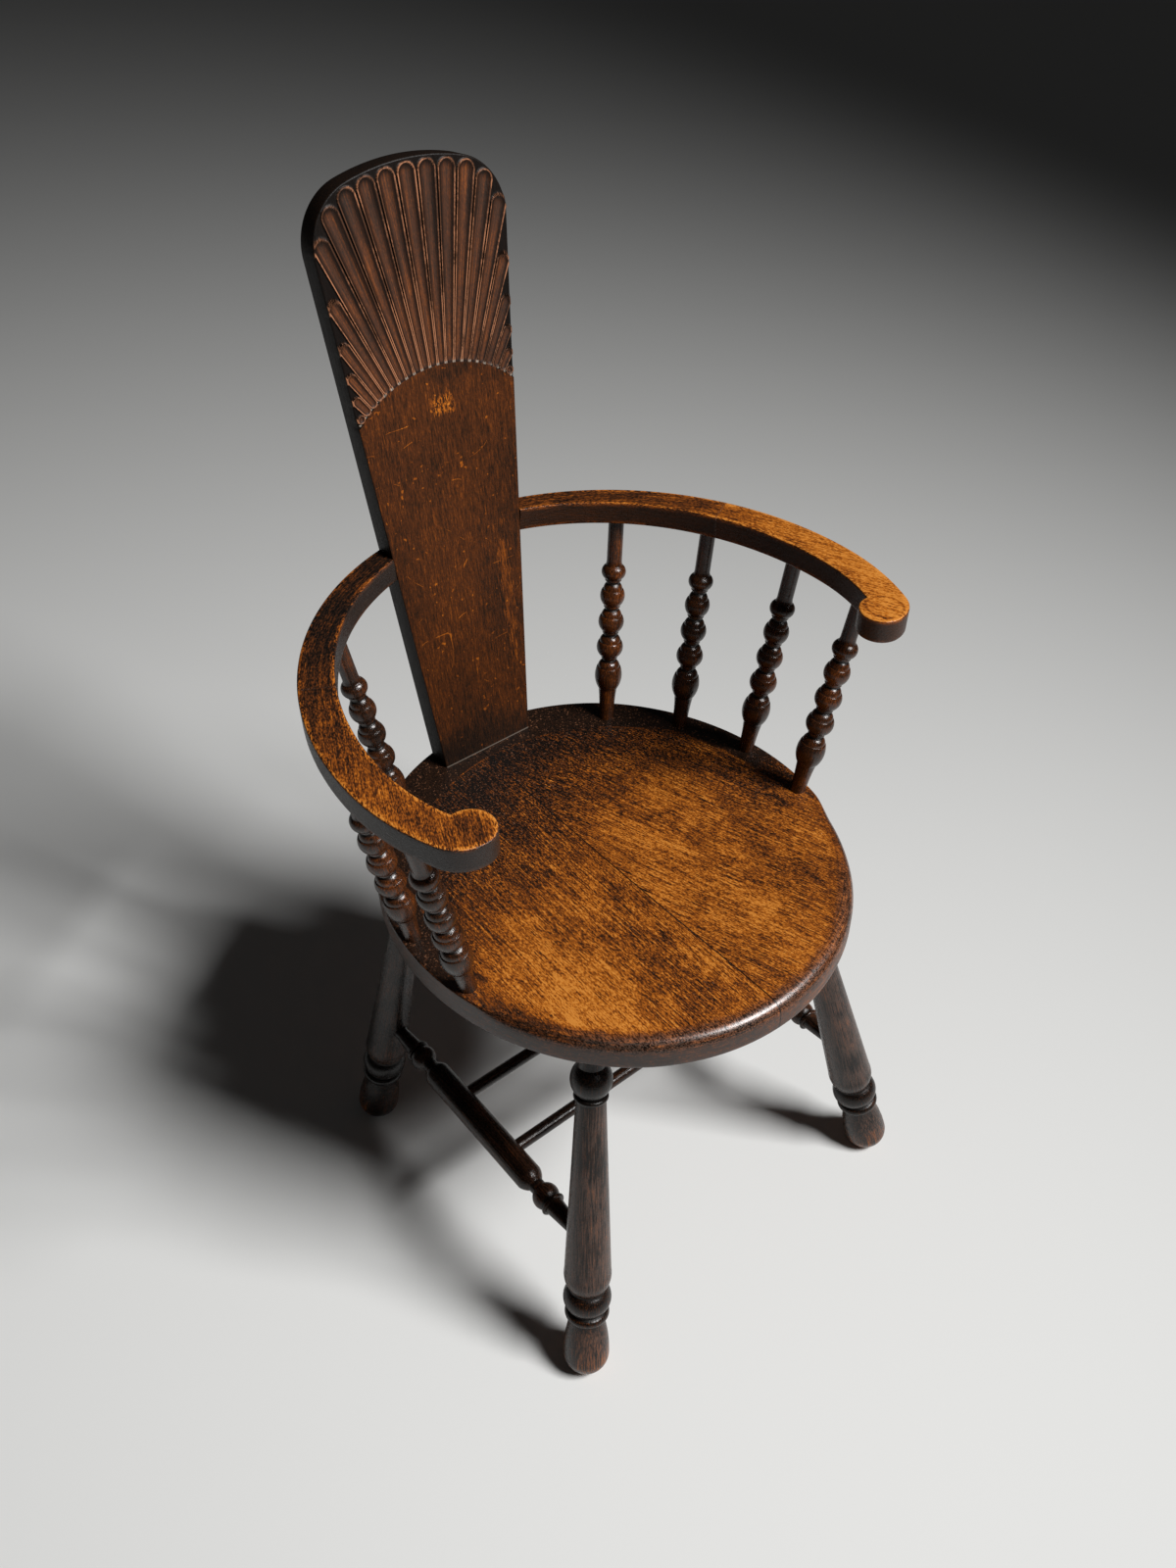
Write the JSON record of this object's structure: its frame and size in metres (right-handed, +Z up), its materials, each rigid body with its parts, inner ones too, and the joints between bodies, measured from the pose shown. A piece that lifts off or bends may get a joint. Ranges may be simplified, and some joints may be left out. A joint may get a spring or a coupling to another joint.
{
  "type": "bobbin armchair",
  "caption": "Oak armchair with a round dished seat, tall fluted fan splat, hooped scroll arms on bobbin-turned spindles, and splayed turned legs with an H stretcher.",
  "frame": {"origin": "on the floor, below the middle of the overall width and depth", "axes": "+Z up, -Y the way the sitter faces, +X the sitter's left"},
  "size_m": [0.5196, 0.4992, 0.9846],
  "materials": {
    "seat_oak": "satin",
    "splat_oak": "satin",
    "arm_oak": "satin",
    "spindle_oak": "gloss",
    "leg_oak": "satin",
    "stretcher_oak": "gloss",
    "hidden_oak": "matte"
  },
  "bodies": {
    "root": {"left_seat_board": "seat_oak", "right_seat_board": "seat_oak", "back_splat": "splat_oak", "left_arm": "arm_oak", "right_arm": "arm_oak", "left_spindle_1": "spindle_oak", "left_spindle_2": "spindle_oak", "left_spindle_3": "spindle_oak", "left_spindle_4": "spindle_oak", "right_spindle_1": "spindle_oak", "right_spindle_2": "spindle_oak", "right_spindle_3": "spindle_oak", "right_spindle_4": "spindle_oak", "front_left_leg": "leg_oak", "front_right_leg": "leg_oak", "rear_left_leg": "leg_oak", "rear_right_leg": "leg_oak", "left_side_stretcher": "stretcher_oak", "right_side_stretcher": "stretcher_oak", "front_cross_stretcher": "stretcher_oak", "rear_cross_stretcher": "stretcher_oak", "seat_dowels": "hidden_oak", "arm_dowels": "hidden_oak", "splat_wedges": "hidden_oak"}
  },
  "joints": []
}
